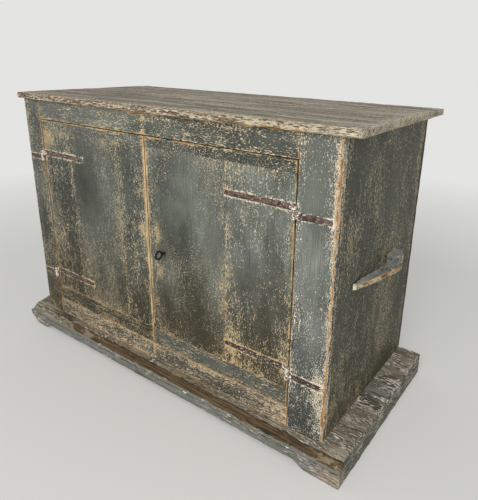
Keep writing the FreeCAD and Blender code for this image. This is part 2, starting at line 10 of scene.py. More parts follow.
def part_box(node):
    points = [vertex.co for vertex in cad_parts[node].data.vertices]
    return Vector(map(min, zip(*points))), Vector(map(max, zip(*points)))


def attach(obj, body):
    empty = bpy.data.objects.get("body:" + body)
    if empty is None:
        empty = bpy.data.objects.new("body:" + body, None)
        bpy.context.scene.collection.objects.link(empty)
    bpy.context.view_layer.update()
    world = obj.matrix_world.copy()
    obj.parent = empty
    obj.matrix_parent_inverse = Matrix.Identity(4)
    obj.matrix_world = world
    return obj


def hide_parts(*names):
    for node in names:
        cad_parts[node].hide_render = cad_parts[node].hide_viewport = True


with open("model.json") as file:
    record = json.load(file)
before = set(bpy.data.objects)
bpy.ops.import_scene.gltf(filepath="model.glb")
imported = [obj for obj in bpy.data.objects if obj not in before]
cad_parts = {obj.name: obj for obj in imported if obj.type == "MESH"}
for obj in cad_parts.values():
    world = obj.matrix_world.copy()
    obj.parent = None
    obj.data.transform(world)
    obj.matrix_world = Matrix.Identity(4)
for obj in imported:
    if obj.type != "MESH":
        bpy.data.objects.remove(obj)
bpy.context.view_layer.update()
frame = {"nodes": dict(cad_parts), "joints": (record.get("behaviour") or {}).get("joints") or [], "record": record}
scene = bpy.context.scene
nodes = frame["nodes"]
bodyOf = {node: body for body, names in frame["record"]["behaviour"]["bodies"].items() for node in names}
slotOf = {row["node"]: row["material_slot"] for row in frame["record"]["subparts"]}
mm = 0.001
alongX, alongY, alongZ = 0, 1, 2
print("frame loaded:", len(nodes), "nodes")

# Start and step of the pattern seeds in each group, so that no two pieces are marked alike
seeds = dict(
    front=(0, 3.7), side=(50, 3.1), back=(70, 2.1), top=(80, 4.3), platform=(110, 5.9),
    apron=(130, 0), runner=(140, 3.3), handle=(160, 3.9), button=(180, 0), hinge=(200, 2.7),
    smallIron=(240, 10), inner=(300, 2.1))
seedShift = (1.0, 2.3, 3.1)

# Settings that nodes share. In a MapRange, 1 and 2 are the ends of what comes in, 3 and 4 of what goes out.
rgba = {"data_type": "RGBA"}
plus = {"operation": "ADD"}
minus = {"operation": "SUBTRACT"}
timesPlus = {"operation": "MULTIPLY_ADD"}
noiseSpan = {1: 0.35, 2: 0.65}
wideSpan = {1: 0.3, 2: 0.7}
noiseMiddle = 0.5
noiseRoughness = 0.6


def seedOf(group, index=0):
    start, step = seeds[group]
    return start + step * index


def linear(hexColour):
    # sRGB hex to the linear values that the shader takes
    channels = [int(hexColour[i:i + 2], 16) / 255 for i in (1, 3, 5)]
    return [c / 12.92 if c <= 0.04045 else ((c + 0.055) / 1.055) ** 2.4 for c in channels] + [1.0]


def outlet(source):
    # A node stands for the first of its outputs that is in use
    if isinstance(source, bpy.types.Node):
        return next(s for s in source.outputs if s.enabled)
    return source


def addNode(tree, kind, settings, links):
    made = tree.nodes.new("ShaderNode" + kind)

    def socket(key):
        if isinstance(key, int):
            return made.inputs[key]
        return next(s for s in made.inputs if s.enabled and s.name == key)

    for key, value in settings.items():
        if isinstance(key, str) and key[0].islower():
            setattr(made, key, value)
        else:
            socket(key).default_value = value
    for key, source in links.items():
        tree.links.new(outlet(source), socket(key))
    return made


def newMaterial(name):
    material = bpy.data.materials.new(name)
    material.use_nodes = True
    add = partial(addNode, material.node_tree)
    shader = material.node_tree.nodes["Principled BSDF"]
    place = add("TexCoord", {}, {}).outputs["Object"]
    return material, add, shader, place


def setInputs(shader, values):
    for name, value in values.items():
        shader.inputs[name].default_value = value


def setSurface(add, shader, look, links, relief):
    bumps = {"Strength": look["bumpStrength"], "Distance": look["reliefDepth"]}
    links["Normal"] = add("Bump", bumps, {"Height": relief})
    for name, source in links.items():
        shader.id_data.links.new(outlet(source), shader.inputs[name])
    setInputs(shader, look["shader"])


def between(add, pattern, span, first, last):
    # From the first colour to the last, as the pattern goes through the span
    amount = add("MapRange", span, {0: pattern})
    return add("Mix", dict(rgba, A=linear(first), B=linear(last)), {"Factor": amount})


def grainPattern(add, place, grain, across, along, detail, seed):
    # Cloudy pattern drawn out along the grain, with cells of the given size in metres
    scale = [1 / across] * 3
    scale[grain] = 1 / along
    start = [seed * step for step in seedShift]
    spread = add("Mapping", {"Scale": scale, "Location": start}, {"Vector": place})
    settings = {"Scale": 1.0, "Detail": detail, "Roughness": noiseRoughness}
    return add("TexNoise", settings, {"Vector": spread})


def fromMiddle(add, place, low, high):
    # How far a point lies from the middle planes of a box, and the box's half size
    middle = [(a + b) / 2 for a, b in zip(low, high)]
    half = [(b - a) / 2 for a, b in zip(low, high)]
    away = add("VectorMath", {**minus, 1: middle}, {0: place})
    return add("VectorMath", {"operation": "ABSOLUTE"}, {0: away}), half


def arrisDistance(add, place, low, high):
    # How far a point on the board's surface lies from its nearest edge:
    # the middle one of its distances to the three pairs of faces
    away, half = fromMiddle(add, place, low, high)
    inside = add("VectorMath", {**minus, 0: half}, {1: away})
    x, y, z = add("SeparateXYZ", {}, {0: inside}).outputs
    nearer = add("Math", {"operation": "MINIMUM"}, {0: x, 1: y})
    further = add("Math", {"operation": "MAXIMUM"}, {0: x, 1: y})
    third = add("Math", {"operation": "MINIMUM"}, {0: further, 1: z})
    return add("Math", {"operation": "MAXIMUM"}, {0: nearer, 1: third})


def fadeOut(add, away, uneven, breakUp, full, gone, gain):
    # The gain as far as full, fading to nothing where it is gone, with a broken outline
    distance = add("VectorMath", {"operation": "LENGTH"}, {0: away}).outputs["Value"]
    distance = add("Math", {**timesPlus, 1: breakUp}, {0: uneven, 2: distance})
    return add("MapRange", {1: full, 2: gone, 3: gain, 4: 0.0}, {0: distance})


def rubbedSpot(add, place, centre, reach, gain, uneven):
    # Patch where more paint is gone, or less with a negative gain
    away = add("VectorMath", {**minus, 1: centre}, {0: place})
    share = add("VectorMath", {"operation": "DIVIDE", 1: reach}, {0: away})
    return fadeOut(add, share, uneven, breakUp=1.6, full=0.95, gone=1.75, gain=gain)


def ironHalo(add, place, low, high, spread, gain, uneven):
    # Flakes that follow the outline of an iron strap nailed to the front, wide here and narrow there
    away, half = fromMiddle(add, place, low, high)
    half[alongY] = 1.0    # the depth doesn't count
    past = add("VectorMath", {**minus, 1: half}, {0: away})
    past = add("VectorMath", {"operation": "MAXIMUM", 1: (0, 0, 0)}, {0: past})
    return fadeOut(add, past, uneven, breakUp=3 * spread, full=1.1 * spread, gone=2.2 * spread, gain=gain)


def insideBand(add, along, low, high, fade, gain):
    # The gain between two planes across the board, fading to nothing outside them
    offset = add("Math", {**minus, 1: (low + high) / 2}, {0: along})
    offset = add("Math", {"operation": "ABSOLUTE"}, {0: offset})
    half = (high - low) / 2
    return add("MapRange", {1: half, 2: half + fade, 3: gain, 4: 0.0}, {0: offset})


# How the paint film breaks up on every painted piece
paintFilm = dict(
    streakLength=30, patchFlecks=5, areaLength=2.2, ragged=(6 * mm, 40 * mm),
    uneven=(16 * mm, 26 * mm), broken=(7 * mm, 12 * mm), edgeSway=1.4,
    patchGain=0.32, sliverShare=0.5, lowUneven=0.5, facingSpan={1: 0.15, 2: 0.65},
    flakeShadowSpan={1: 0.055, 2: 0.105}, lostSpan={1: 0.11, 2: 0.13}, bareFade=0.05,
    toneSpan={1: 0.36, 2: 0.64}, streakSpan={1: 0.42, 2: 0.70}, groundSpan={1: -0.03, 2: 0.15},
    woodSpan={1: 0.38, 2: 0.62}, seamShare=0.9, holeColour="#15110c", holeRim=(0.7, 1.2),
    bareRoughness=0.88, lostDepth=-0.6, bareDepth=-0.3, crackDepth=-1.0,
    crackLength=14, crackSpan={1: 0.42, 2: 0.58, 4: 0.9},
    rawDark="#6b5136", rawPale="#8d7049", rawStain="#54412d", rawSpan={1: 0.4, 2: 0.65, 4: 0.5})


# Old distemper-like paint on softwood: matt, brushed along the grain, flaked off in slivers to a cream
# ground and then to the wood, most of all on the arrises. Wear says how hard each place was used.
def flakedPaint(name, low, high, look, seed, straps=()):
    material, add, shader, place = newMaterial(name)
    grain, film = look["grain"], paintFilm
    fleckSize = (look["fleckWidth"], look["fleckLength"])
    patchSize = [film["patchFlecks"] * size for size in fleckSize]
    streakSize = (look["streakSize"], film["streakLength"] * look["streakSize"])
    areaSize = (look["areaSize"], film["areaLength"] * look["areaSize"])
    tone = grainPattern(add, place, grain, look["toneSize"], look["toneLength"], 3, look["toneSeed"])
    streak = grainPattern(add, place, grain, *streakSize, 3, seed)
    fleck = grainPattern(add, place, grain, *fleckSize, 2.5, seed)
    patch = grainPattern(add, place, grain, *patchSize, 2, seed + 5)
    area = grainPattern(add, place, grain, *areaSize, 2, seed + 9)
    ragged = grainPattern(add, place, grain, *film["ragged"], 3, seed + 13)
    uneven = grainPattern(add, place, grain, *film["uneven"], 3, seed + 21)
    broken = grainPattern(add, place, alongX, *film["broken"], 2, seed + 25)
    coords = add("SeparateXYZ", {}, {0: place}).outputs

    # Wear from the place on the board: worn areas, arrises, joints, outer edges, rubbed spots and bands
    gain, width = look["areaGain"], look["edgeWear"]
    wear = [add("MapRange", {**noiseSpan, 3: look["loss"] - gain, 4: look["loss"] + gain}, {0: area})]
    own = arrisDistance(add, place, low, high)
    outer = arrisDistance(add, place, *look["outline"]) if "outline" in look else own
    shift = add("MapRange", {**wideSpan, 3: -width, 4: film["edgeSway"] * width}, {0: ragged})
    outer = add("Math", plus, {0: outer, 1: shift})
    fading = [(own, look["edgeSpread"], look["spreadGain"])]
    if "joint" in look:
        fading.append((own, *look["joint"]))
    fading.append((outer, width, look["edgeGain"]))
    for distance, reach, edgeGain in fading:
        wear.append(add("MapRange", {1: 0.0, 2: reach, 3: edgeGain, 4: 0.0}, {0: distance}))
    for spot in look.get("spots", ()):
        wear.append(rubbedSpot(add, place, *spot, uneven))
    wander = add("VectorMath", plus, {0: place, 1: shift})
    wander = add("SeparateXYZ", {}, {0: wander}).outputs
    for axis, *band in look.get("bands", ()):
        wear.append(insideBand(add, wander[axis], *band))
    if "facing" in look:
        # Worn where the surface faces this way, kept where it faces away from it
        way, gain = look["facing"]
        normal = place.node.outputs["Normal"]
        facing = add("VectorMath", {"operation": "DOT_PRODUCT", 1: way}, {0: normal}).outputs["Value"]
        wear.append(add("MapRange", {**film["facingSpan"], 3: -gain, 4: gain}, {0: facing}))
    worn = wear[0]
    for part in wear[1:]:
        worn = add("Math", plus, {0: worn, 1: part})

    # Slivers: fine flecks gathered in loose patches, and more of them round the ironwork
    lift = film["patchGain"]
    sliver = add("Math", {**minus, 1: noiseMiddle}, {0: fleck})
    cluster = add("Math", {**timesPlus, 1: lift, 2: -lift * noiseMiddle}, {0: patch})
    sliver = add("Math", plus, {0: sliver, 1: cluster})
    field = add("Math", plus, {0: sliver, 1: worn})
    for strap in straps:
        halo = ironHalo(add, place, *strap, look["haloSpread"], look["haloGain"], broken)
        field = add("Math", plus, {0: field, 1: halo})
    # Painted shadow: a dark border just outside each flake, standing in for the shade cast by the edge of the
    # lifted paint
    flakeShadow = add("MapRange", {**film["flakeShadowSpan"], 4: look["rimShare"]}, {0: field})
    lost = add("MapRange", film["lostSpan"], {0: field})
    deep = add("Math", {**timesPlus, 1: film["sliverShare"]}, {0: sliver, 2: worn})
    bare = add("MapRange", {1: look["bareFrom"], 2: look["bareFrom"] + film["bareFade"]}, {0: deep})

    # Colours: paint with brushed streaks and a painted shadow round each flake, a cream ground that deepens where
    # it is rubbed, then wood
    paint = between(add, tone, film["toneSpan"], look["paintDark"], look["paintLight"])
    rubbed = add("Math", plus, {0: worn, 1: cluster})
    ground = between(add, rubbed, film["groundSpan"], look["groundPale"], look["groundDeep"])
    wood = between(add, streak, film["woodSpan"], look["woodDark"], look["woodPale"])
    amount = add("MapRange", {**film["streakSpan"], 4: look["streakShare"]}, {0: streak})
    layers = [(look["streakColour"], amount)]
    if look["lowTone"]:
        # Paint and ground are browner towards the floor
        top, bottom, share, tint = look["lowTone"]
        sway = film["lowUneven"]
        level = add("Math", {**timesPlus, 1: sway}, {0: area, 2: coords["Z"]})
        span = {1: bottom + sway * noiseMiddle, 2: top + sway * noiseMiddle, 3: share, 4: 0.0}
        amount = add("MapRange", span, {0: level})
        layers.append((tint, amount))
        ground = add("Mix", dict(rgba, B=linear(look["lowGround"])), {"Factor": amount, "A": ground})
    for axis, *band, tint in look.get("repaint", ()):
        # Ends and edges that carry another colour
        layers.append((tint, insideBand(add, wander[axis], *band, 1.0)))
    layers.append((look["rimColour"], flakeShadow))
    for tint, amount in layers:
        paint = add("Mix", dict(rgba, B=linear(tint)), {"Factor": amount, "A": paint})
    colour = add("Mix", rgba, {"Factor": lost, "A": paint, "B": ground})
    colour = add("Mix", rgba, {"Factor": bare, "A": colour, "B": wood})

    sunk = [(lost, film["lostDepth"]), (bare, film["bareDepth"])]
    layers = []
    for axis, *band, tint in look.get("seams", ()):
        # Dark line of dirt in a crack or under an edge
        layers.append((tint, insideBand(add, wander[axis], *band, film["seamShare"])))
    for centre, radius in look.get("holes", ()):
        # Old nail hole
        inner, outside = [share * radius for share in film["holeRim"]]
        away = add("VectorMath", {"operation": "DISTANCE", 1: centre}, {0: place}).outputs["Value"]
        amount = add("MapRange", {1: inner, 2: outside, 3: 1.0, 4: 0.0}, {0: away})
        layers.append((film["holeColour"], amount))
    if "cracks" in look:
        # Drying cracks that run with the grain, where the board is worn
        cracks = look["cracks"]
        crackSize = (cracks["spacing"], film["crackLength"] * cracks["spacing"])
        split = grainPattern(add, place, grain, *crackSize, 2, seed + 17)
        level = add("Math", {**minus, 1: noiseMiddle}, {0: split})
        level = add("Math", {"operation": "ABSOLUTE"}, {0: level})
        line = add("MapRange", {1: 0.0, 2: cracks["width"], 3: 1.0, 4: 0.0}, {0: level})
        share = add("MapRange", film["crackSpan"], {0: area})
        line = add("Math", {"operation": "MULTIPLY"}, {0: line, 1: share})
        layers.append((cracks["colour"], line))
        sunk.append((line, film["crackDepth"]))
    for tint, amount in layers:
        colour = add("Mix", dict(rgba, B=linear(tint)), {"Factor": amount, "A": colour})
    relief = add("MapRange", {**wideSpan, 4: look["grainRelief"]}, {0: streak})
    for part, depth in sunk:
        relief = add("Math", {**timesPlus, 1: depth}, {0: part, 2: relief})

    if "paintedTo" in look:
        # Only the outer side was painted: past this plane the wood is bare
        axis, inner, outside = look["paintedTo"]
        raw = add("MapRange", {1: outside, 2: inner}, {0: coords[axis]})
        rawWood = between(add, streak, noiseSpan, film["rawDark"], film["rawPale"])
        amount = add("MapRange", film["rawSpan"], {0: tone})
        rawWood = add("Mix", dict(rgba, B=linear(film["rawStain"])), {"Factor": amount, "A": rawWood})
        colour = add("Mix", rgba, {"Factor": raw, "A": colour, "B": rawWood})

    rough = add("MapRange", {3: look["paintRoughness"], 4: film["bareRoughness"]}, {0: lost})
    setSurface(add, shader, look, {"Base Color": colour, "Roughness": rough}, relief)
    return material


pineSkin = dict(
    growth=(4 * mm, 260 * mm), stain=(60 * mm, 240 * mm), saw=(30 * mm, 1.2 * mm),
    dark="#5d4630", pale="#8a6c46", stainColour="#3d2f22", stainSpan={1: 0.5, 2: 0.72, 4: 0.7},
    growthRelief=0.7, sawRelief=0.3, bumpStrength=0.6, reliefDepth=0.4 * mm,
    shader={"Roughness": 0.82, "Specular IOR Level": 0.3})


# Unpainted old pine: warm brown, sawn, with growth lines along the grain and a few dark stains
def oldPine(name, grain, seed, changes={}):
    look = dict(pineSkin, **changes)
    material, add, shader, place = newMaterial(name)
    growth = grainPattern(add, place, grain, *look["growth"], 4, seed)
    stain = grainPattern(add, place, grain, *look["stain"], 3, seed + 4)
    saw = grainPattern(add, place, grain, *look["saw"], 1, seed + 7)
    colour = between(add, growth, noiseSpan, look["dark"], look["pale"])
    amount = add("MapRange", look["stainSpan"], {0: stain})
    colour = add("Mix", dict(rgba, B=linear(look["stainColour"])), {"Factor": amount, "A": colour})
    lines = add("MapRange", {**wideSpan, 4: look["growthRelief"]}, {0: growth})
    relief = add("MapRange", {**wideSpan, 4: look["sawRelief"]}, {0: saw})
    relief = add("Math", plus, {0: lines, 1: relief})
    setSurface(add, shader, look, {"Base Color": colour}, relief)
    return material


ironSkin = dict(
    bloomSize=(9 * mm, 16 * mm), pitSize=(1.6 * mm, 1.6 * mm), fleckSize=(3.5 * mm, 6 * mm),
    unevenSize=(8 * mm, 8 * mm), pitSpan={1: 0.52, 2: 0.7, 4: 0.5}, flakeFade=0.03,
    bloomRelief=0.6, pitRelief=0.4, bumpStrength=0.7, reliefDepth=0.5 * mm,
    dark="#2c201e", rust="#80665b", pit="#1d1513", flake="#e6decb", flakesFrom=0.64,
    shader={"Metallic": 0.15, "Roughness": 0.68})


# Hand-forged wrought iron gone brown: dull scale, rust bloom in the hollows, flecks of old paint
def forgedIron(name, seed, changes={}, spots=()):
    look = dict(ironSkin, **changes)
    material, add, shader, place = newMaterial(name)
    bloom = grainPattern(add, place, alongX, *look["bloomSize"], 4, seed)
    pit = grainPattern(add, place, alongX, *look["pitSize"], 2, seed + 3)
    fleck = grainPattern(add, place, alongX, *look["fleckSize"], 2, seed + 6)
    uneven = grainPattern(add, place, alongX, *look["unevenSize"], 2, seed + 9)
    for spot in spots:
        fleck = add("Math", plus, {0: fleck, 1: rubbedSpot(add, place, *spot, uneven)})
    colour = between(add, bloom, noiseSpan, look["dark"], look["rust"])
    flakeSpan = {1: look["flakesFrom"], 2: look["flakesFrom"] + look["flakeFade"]}
    for tint, span, pattern in ((look["pit"], look["pitSpan"], pit), (look["flake"], flakeSpan, fleck)):
        amount = add("MapRange", span, {0: pattern})
        colour = add("Mix", dict(rgba, B=linear(tint)), {"Factor": amount, "A": colour})
    scale = add("MapRange", {**wideSpan, 4: look["bloomRelief"]}, {0: bloom})
    relief = add("MapRange", {**wideSpan, 4: look["pitRelief"]}, {0: pit})
    relief = add("Math", plus, {0: scale, 1: relief})
    setSurface(add, shader, look, {"Base Color": colour}, relief)
    return material


cloud = dict(contrast=1.6, depth=2)
clouds = {}


def cloudTexture(size):
    # Texture for the displacing modifiers, one for each cell size
    if size not in clouds:
        made = bpy.data.textures.new("unevenness", "CLOUDS")
        made.noise_scale = size
        made.noise_depth = cloud["depth"]
        made.contrast = cloud["contrast"]
        clouds[size] = made
    return clouds[size]


def selectOnly(*pieces):
    bpy.ops.object.select_all(action="DESELECT")
    for piece in pieces:
        piece.select_set(True)
        bpy.context.view_layer.objects.active = piece


def applyModifier(piece, kind, **settings):
    bpy.ops.object.modifier_add(type=kind)
    modifier = piece.modifiers[-1]
    for key, value in settings.items():
        setattr(modifier, key, value)
    bpy.ops.object.modifier_apply(modifier=modifier.name)


def pushIn(piece, size, depth, group=""):
    # Uneven surface, cut inwards only, so the piece stays inside its own box
    applyModifier(piece, "DISPLACE", texture=cloudTexture(size), mid_level=1.0, strength=depth, vertex_group=group)


def selectEdges(piece, wanted):
    bpy.ops.mesh.select_mode(type="EDGE")
    bpy.ops.mesh.select_all(action="DESELECT")
    mesh = bmesh.from_edit_mesh(piece.data)
    for edge in mesh.edges:
        if wanted(edge.verts[0].co, edge.verts[1].co):
            edge.select = True
    bmesh.update_edit_mesh(piece.data)


def seatPiece(piece, node, material):
    # The new piece takes the CAD node's place and body and gets the given material
    piece.data.materials.clear()
    piece.data.materials.append(material)
    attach(piece, bodyOf[node])
    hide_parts(node)


def startBoard(name, low, high):
    selectOnly()
    bpy.ops.mesh.primitive_cube_add(size=1.0, location=(low + high) / 2, scale=high - low)
    piece = bpy.context.object
    piece.name = name
    piece.data.name = name
    bpy.ops.object.transform_apply(location=True, rotation=True, scale=True)
    bpy.ops.object.mode_set(mode="EDIT")
    return piece


def sliceBoard(axis, low, high, pitch):
    # Cuts across the board at an even pitch, for the wear to work on
    count = max(1, round((high[axis] - low[axis]) / pitch))
    normal = Vector((0, 0, 0))
    normal[axis] = 1.0
    for index in range(1, count):
        point = normal * (low[axis] + (high[axis] - low[axis]) * index / count)
        bpy.ops.mesh.select_all(action="SELECT")
        bpy.ops.mesh.bisect(plane_co=point, plane_no=normal)


arris = dict(sharpAngle=25, segments=3, hollowSize=0.09, smoothAngle=40)


def easeArrises(piece, wear, wanted):
    # Rounds the sharp edges, chips them unevenly and leaves the faces slightly hollow.
    # Edges that aren't wanted lie against another board and stay nearly sharp.
    bpy.ops.mesh.select_mode(type="EDGE")
    bpy.ops.mesh.select_all(action="DESELECT")
    bpy.ops.mesh.edges_select_sharp(sharpness=math.radians(arris["sharpAngle"]))
    mesh = bmesh.from_edit_mesh(piece.data)
    for edge in mesh.edges:
        if edge.select and not wanted(edge.verts[0].co, edge.verts[1].co):
            edge.select = False
    bmesh.update_edit_mesh(piece.data)
    bpy.ops.mesh.bevel(offset=wear["ease"], segments=arris["segments"], profile=0.5, affect="EDGES",
                       clamp_overlap=True)
    bpy.ops.object.vertex_group_assign_new()
    bpy.ops.object.mode_set(mode="OBJECT")
    pushIn(piece, wear["chipSize"], wear["chip"], piece.vertex_groups[0].name)
    pushIn(piece, arris["hollowSize"], wear["hollow"])
    piece.vertex_groups.clear()
    bpy.ops.object.shade_smooth_by_angle(angle=math.radians(arris["smoothAngle"]))


def roundEdge(piece, wanted, width, segments):
    selectEdges(piece, wanted)
    bpy.ops.mesh.bevel(offset=width, segments=segments, profile=0.5, affect="EDGES", clamp_overlap=False)


def pullEdges(piece, wanted, shift, reach):
    # Moves these edges and, less and less, what lies within reach of them
    selectEdges(piece, wanted)
    bpy.ops.transform.translate(value=shift, use_proportional_edit=True, proportional_edit_falloff="SMOOTH",
                                proportional_size=reach)


def near(value, goal):
    return abs(value - goal) < 1e-5


def edgesAt(**planes):
    # Picks the edges that lie in all of these planes
    return lambda a, b: all(near(getattr(end, axis), value) for axis, value in planes.items() for end in (a, b))


def onOutline(a, b, low, high, reaches):
    # An arris is eased where it lies on the outline, not where two boards meet
    middle = (a + b) / 2
    return any(min(abs(middle[axis] - low[axis]), abs(middle[axis] - high[axis])) < reach
               for axis, reach in reaches)


def roundEnds(piece, low, high, radius):
    # Upper edges of a plank's two ends, worn round
    for end in (low.x, high.x):
        roundEdge(piece, edgesAt(x=end, z=high.z), radius, segments=3)


def visibleBox(node):
    # A rail shows between the stiles and a door plank between its clamps: tenons and tongues are hidden
    low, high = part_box(node)
    if node in ("top_rail", "bottom_rail"):
        low.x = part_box("stile_left")[1].x
        high.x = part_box("stile_right")[0].x
    if "_door_" in node and node.endswith("_plank"):
        door = node.split("_door_")[0]
        low.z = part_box(door + "_door_bottom_clamp")[1].z
        high.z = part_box(door + "_door_top_clamp")[0].z
    return low, high


def wornBoard(node, wear, material, shapeFirst=None, shapeLast=None, wanted=lambda a, b: True):
    low, high = visibleBox(node)
    piece = startBoard(node + "_worn", low, high)
    if shapeFirst:
        shapeFirst(piece, low, high)
    size = high - low
    longest = max(range(3), key=lambda axis: size[axis])
    thinnest = min(range(3), key=lambda axis: size[axis])
    for axis in range(3):
        if axis != thinnest:
            sliceBoard(axis, low, high, wear["pitch"] if axis == longest else wear["crossPitch"])
    if shapeLast:
        shapeLast(piece, low, high)
    easeArrises(piece, wear, wanted)
    seatPiece(piece, node, material)
    return piece


# Camera, matched to the photograph's edges. The sensor's width is the frame's long side.
cameraView = dict(
    frameWidth=478, frameHeight=500, sensorWidth=36.0,
    focalPixels=487.8, centreX=259.2, centreY=219.2,
    place=(1.037, -1.174, 1.015), azimuth=35.2, elevation=18.65, roll=1.25)


def makeCamera(view):
    data = bpy.data.cameras.new("photoCamera")
    camera = bpy.data.objects.new("photoCamera", data)
    scene.collection.objects.link(camera)
    long = max(view["frameWidth"], view["frameHeight"])
    data.sensor_width = view["sensorWidth"]
    data.lens = view["focalPixels"] / long * data.sensor_width
    data.shift_x = (view["frameWidth"] / 2 - view["centreX"]) / long
    data.shift_y = (view["centreY"] - view["frameHeight"] / 2) / long
    turn = math.radians(view["azimuth"])
    tilt = math.radians(90 - view["elevation"])
    spin = math.radians(view["roll"])
    camera.location = view["place"]
    camera.rotation_mode = "QUATERNION"
    whole = Matrix.Rotation(turn, 3, "Z") @ Matrix.Rotation(tilt, 3, "X") @ Matrix.Rotation(spin, 3, "Z")
    camera.rotation_quaternion = whole.to_quaternion()
    scene.camera = camera


makeCamera(cameraView)
print("camera placed")


# Plain pale floor, soft studio light
studio = dict(
    floorShader={"Base Color": linear("#d9d7d2"), "Roughness": 0.9, "Specular IOR Level": 0.1}, floorSize=14.0,
    floorGlowAndFade={1: 1.3, 2: 3.2, 3: 0.25}, backColour="#e4e4e2", skyStrength=0.6, skyColour="#f3f5f7",
    lampPlace=(1.3, -3.2, 2.7), lampAim=(0.0, 0.0, 0.4), lampSize=2.6, lampPower=100.0)


def makeStudio(look):
    selectOnly()
    bpy.ops.mesh.primitive_plane_add(size=look["floorSize"], location=(0, 0, 0))
    floor = bpy.context.object
    floor.name = "studioFloor"
    # Painted studio floor: matt and pale, fading into the backdrop's colour far away. Near the object it glows
    # with a quarter of that colour, painted light that softens the object's shadow.
    material, add, shader, place = newMaterial("paleStudioFloor")
    setInputs(shader, look["floorShader"])
    away = add("VectorMath", {"operation": "LENGTH"}, {0: place}).outputs["Value"]
    fade = add("MapRange", look["floorGlowAndFade"], {0: away})
    glow = add("Emission", {"Color": linear(look["backColour"])}, {})
    mixed = add("MixShader", {}, {0: fade, 1: shader, 2: glow})
    tree = material.node_tree
    tree.links.new(mixed.outputs[0], tree.nodes["Material Output"].inputs["Surface"])
    floor.data.materials.append(material)

    # Even pale sky: the backdrop's colour to the eye and in reflections, softer as light
    world = bpy.data.worlds.new("studioSky")
    scene.world = world
    world.use_nodes = True
    tree = world.node_tree
    add = partial(addNode, tree)
    sky = tree.nodes["Background"]
    setInputs(sky, {"Color": linear(look["skyColour"]), "Strength": look["skyStrength"]})
    back = add("Background", {"Color": linear(look["backColour"]), "Strength": 1.0}, {})
    rays = add("LightPath", {}, {}).outputs
    shown = add("Math", plus, {0: rays["Is Camera Ray"], 1: rays["Is Glossy Ray"]})
    shown = add("Math", plus, {0: shown, 1: rays["Is Transmission Ray"]})
    mixed = add("MixShader", {}, {0: shown, 1: sky, 2: back})
    tree.links.new(mixed.outputs[0], tree.nodes["World Output"].inputs["Surface"])

    # One large soft lamp, in front on the right
    data = bpy.data.lights.new("keyLamp", "AREA")
    data.shape = "DISK"
    data.size = look["lampSize"]
    data.energy = look["lampPower"]
    lamp = bpy.data.objects.new("keyLamp", data)
    lamp.location = look["lampPlace"]
    lamp.rotation_mode = "QUATERNION"
    lamp.rotation_quaternion = (Vector(look["lampAim"]) - lamp.location).to_track_quat("-Z", "Y")
    scene.collection.objects.link(lamp)
    scene.view_settings.view_transform = "Standard"


makeStudio(studio)
print("studio ready")


# The painted front: frame, door planks and clamps
# lowTone: from this height down to that one, share, colour. joint: width, gain. Spots: place, reach, gain.
# paintedTo: axis, where the paint is gone, where it gets thin. Bands: axis, from, to, fade, gain.
# Repainted edges and seams are bands with a colour in place of the gain. Holes: place, radius.
frontLook = dict(
    grain=alongZ,
    paintDark="#3b3e36", paintLight="#6a6e65", toneSize=0.15, toneLength=0.24, toneSeed=0.0,
    streakColour="#33352d", streakShare=0.6, streakSize=2.2 * mm,
    # The dark colour and share next paint the shadow round each flake
    rimColour="#181812", rimShare=0.92,
    groundPale="#ece5ce", groundDeep="#c8b186",
    woodDark="#946e42", woodPale="#d6b684", bareFrom=0.19,
    fleckWidth=1.6 * mm, fleckLength=5 * mm,
    areaSize=0.085, areaGain=0.044, loss=-0.006,
    edgeWear=4.5 * mm, edgeGain=0.34, edgeSpread=32 * mm, spreadGain=0.05,
    haloSpread=7 * mm, haloGain=0.26,
    lowTone=(0.56, 0.18, 0.88, "#312d1b"), lowGround="#cfb488",
    paintRoughness=0.58, grainRelief=0.15, bumpStrength=0.8, reliefDepth=1.0 * mm,
    shader={"IOR": 1.45, "Specular IOR Level": 0.35})
frontWear = dict(pitch=10 * mm, crossPitch=60 * mm, ease=0.8 * mm, chip=1.2 * mm, chipSize=14 * mm,
                 hollow=0.4 * mm)
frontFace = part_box("stile_left")[0].y
